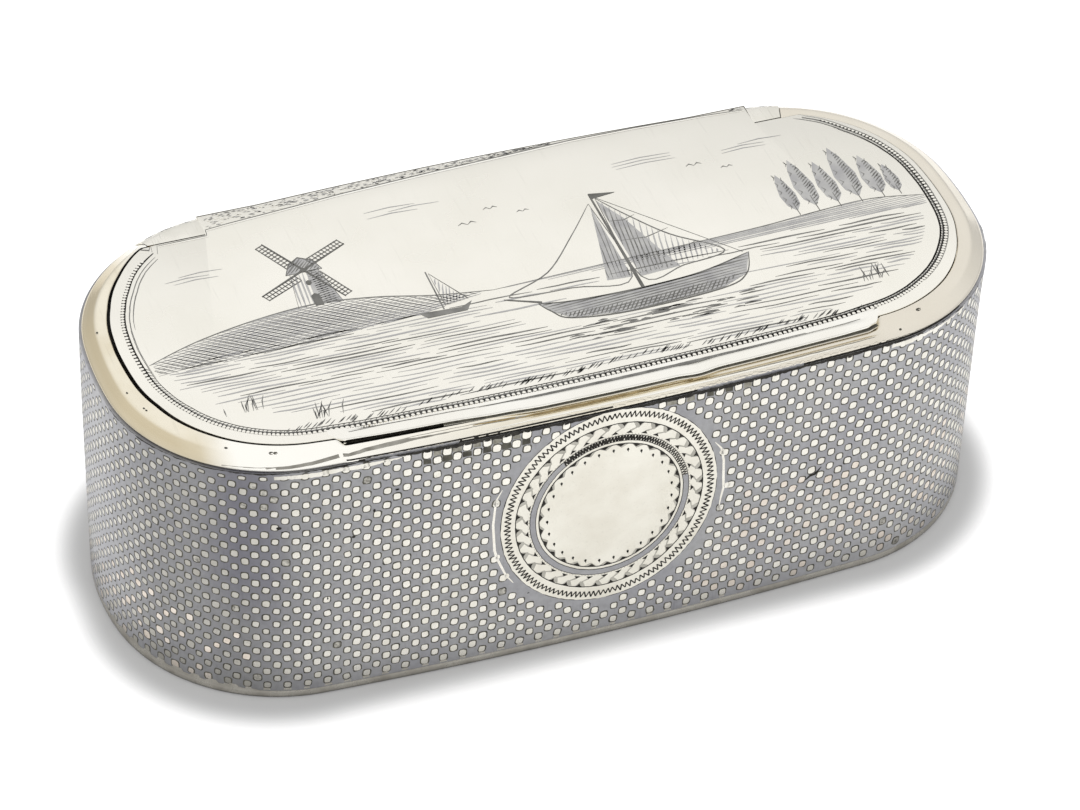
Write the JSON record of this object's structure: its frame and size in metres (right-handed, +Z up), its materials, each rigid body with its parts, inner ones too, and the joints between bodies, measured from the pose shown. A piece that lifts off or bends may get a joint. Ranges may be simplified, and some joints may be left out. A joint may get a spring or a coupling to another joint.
{
  "type": "hinged trinket box",
  "caption": "Oblong silver box with curved ends, a nielloed dotted wall, a gilt rim and a flush engraved lid on a full-length back hinge.",
  "frame": {"origin": "on the table under the middle of the box", "axes": "+X along the length, -Y towards the front side with the lifting lip and the oval cartouche, +Z up"},
  "size_m": [0.0862, 0.0386, 0.0291],
  "materials": {
    "silver": "polished silver with fine wear scratches; the lid's top is engraved",
    "niello": "silver wall inlaid with grey niello around staggered silver dots",
    "gilt": "pale worn gilding on silver, polished",
    "pin_metal": "drawn wire"
  },
  "bodies": {
    "box": {"foot_ring": "silver", "base_plate": "silver", "wall_band": "niello", "mouth_collar": "gilt", "rim": "gilt", "hinge_rail": "silver", "body_hinge_strap": "silver", "hinge_pin": "pin_metal", "pin_plug_left": "silver", "pin_plug_right": "silver", "body_knuckle_1": "silver", "body_knuckle_2": "silver", "body_knuckle_3": "silver", "body_knuckle_4": "silver", "body_knuckle_5": "silver"},
    "lid": {"lid_plate": "silver", "lip_roll": "silver", "lip_bead": "silver", "thumb_lift": "silver", "lid_hinge_strap": "silver", "lid_knuckle_1": "silver", "lid_knuckle_2": "silver", "lid_knuckle_3": "silver", "lid_knuckle_4": "silver"}
  },
  "joints": [
    {"name": "lid_hinge", "type": "hinge", "parent": "box", "child": "lid", "pos_m": [0, 0.0163, 0.0276], "axis": [-1, 0, 0], "range_deg": [0, 95]}
  ]
}
